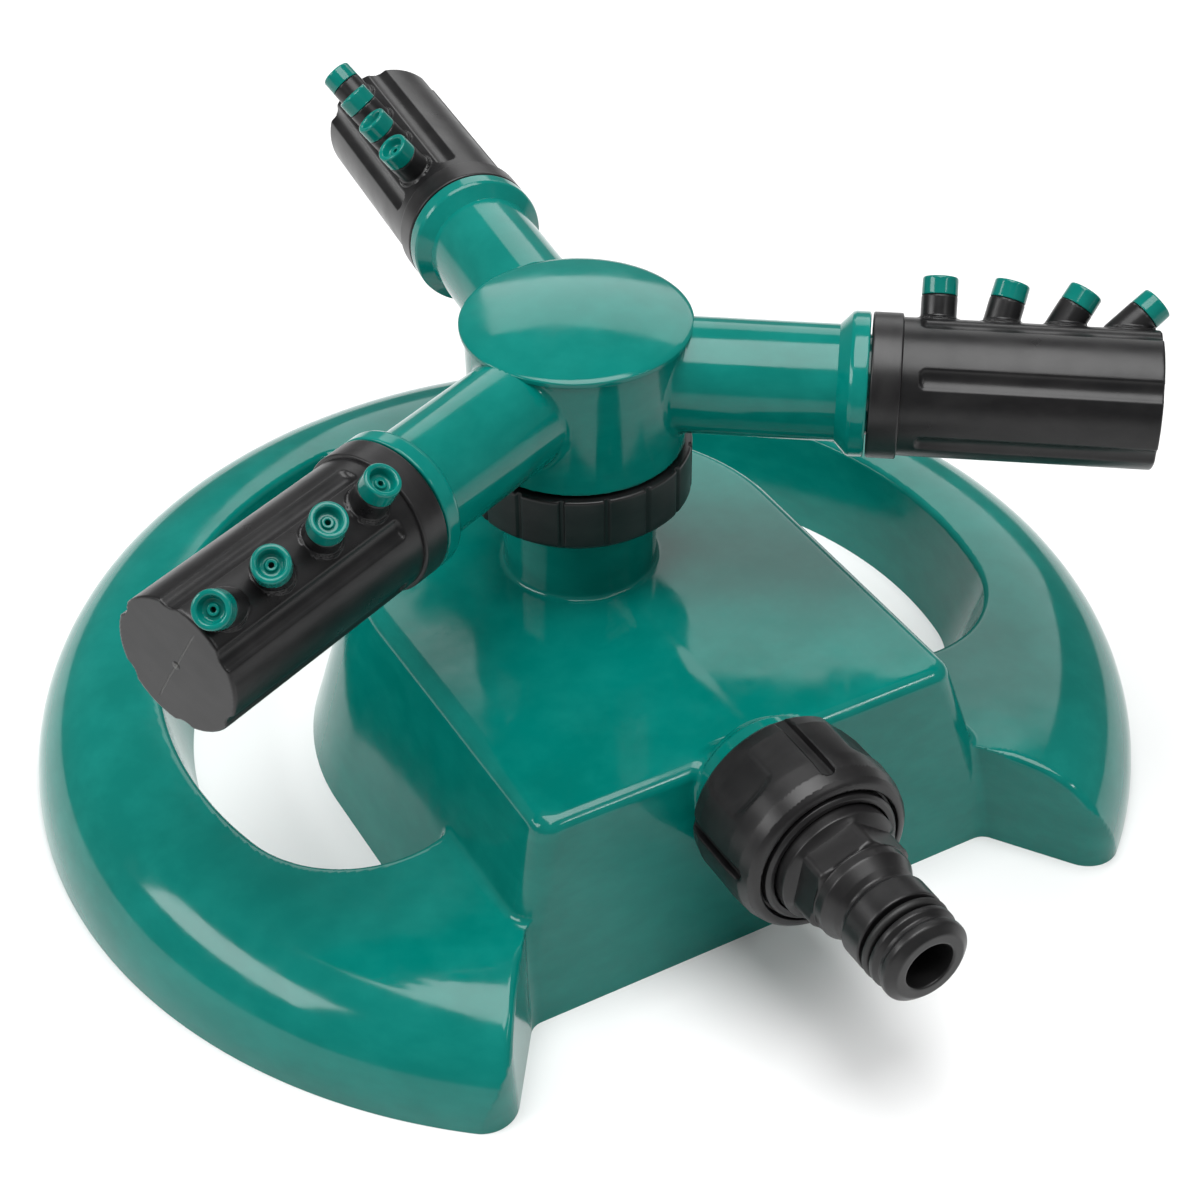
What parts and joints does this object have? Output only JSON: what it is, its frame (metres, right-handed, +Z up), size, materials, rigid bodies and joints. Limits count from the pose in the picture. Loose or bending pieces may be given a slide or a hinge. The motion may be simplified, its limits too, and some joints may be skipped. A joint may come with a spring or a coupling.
{
  "type": "rotary lawn sprinkler",
  "caption": "Rotary lawn sprinkler: a spinning hub with three arms and turnable nozzle heads on a ring base, fed by a side hose nipple.",
  "frame": {"origin": "bottom centre of the overall box, on the ground plane; the rotor's axis is 4.8 mm behind it along +Y", "axes": "+Z up along the rotor's axis, +Y from the hose inlet towards the back of the ring, +X to the right seen from the inlet"},
  "size_m": [0.2278, 0.2354, 0.1058],
  "materials": {
    "green_plastic": "glossy moulded teal-green plastic with soft sink marks and faint flow texture",
    "black_plastic": "semi-gloss black moulded plastic, slightly scuffed",
    "black_fitting": "satin black moulded plastic with a fine spark texture",
    "seal_rubber": "plain black sealing rubber",
    "washer_plastic": "plain off-white bearing plastic"
  },
  "bodies": {
    "base": {"base_shell": "green_plastic", "spindle": "black_plastic", "spindle_oring": "seal_rubber", "inlet_nipple": "black_fitting", "inlet_washer": "seal_rubber", "nipple_oring": "seal_rubber"},
    "rotor": {"rotor_hub": "green_plastic", "retaining_nut": "black_fitting", "lower_washer": "washer_plastic", "upper_washer": "washer_plastic", "head_oring_a": "seal_rubber", "head_oring_b": "seal_rubber", "head_oring_c": "seal_rubber"},
    "head_a": {"nozzle_head_a": "black_plastic", "nozzle_tip_a1": "green_plastic", "nozzle_tip_a2": "green_plastic", "nozzle_tip_a3": "green_plastic", "nozzle_tip_a4": "green_plastic"},
    "head_b": {"nozzle_head_b": "black_plastic", "nozzle_tip_b1": "green_plastic", "nozzle_tip_b2": "green_plastic", "nozzle_tip_b3": "green_plastic", "nozzle_tip_b4": "green_plastic"},
    "head_c": {"nozzle_head_c": "black_plastic", "nozzle_tip_c1": "green_plastic", "nozzle_tip_c2": "green_plastic", "nozzle_tip_c3": "green_plastic", "nozzle_tip_c4": "green_plastic"},
    "union_nut": {"inlet_union_nut": "black_fitting"}
  },
  "joints": [
    {"name": "rotor_spin", "type": "hinge", "parent": "base", "child": "rotor", "pos_m": [0, 0.0048, 0.075], "axis": [0, 0, 1], "continuous": true},
    {"name": "head_a_turn", "type": "hinge", "parent": "rotor", "child": "head_a", "pos_m": [-0.05926, -0.02192, 0.0863], "axis": [-0.9116, -0.411, 0], "continuous": true},
    {"name": "head_b_turn", "type": "hinge", "parent": "rotor", "child": "head_b", "pos_m": [0.05277, -0.03316, 0.0863], "axis": [0.8118, -0.584, 0], "continuous": true},
    {"name": "head_c_turn", "type": "hinge", "parent": "rotor", "child": "head_c", "pos_m": [0.00649, 0.06947, 0.0863], "axis": [0.0998, 0.995, 0], "continuous": true},
    {"name": "union_nut_turn", "type": "hinge", "parent": "base", "child": "union_nut", "pos_m": [0, -0.0752, 0.0353], "axis": [0, -1, 0], "continuous": true}
  ]
}
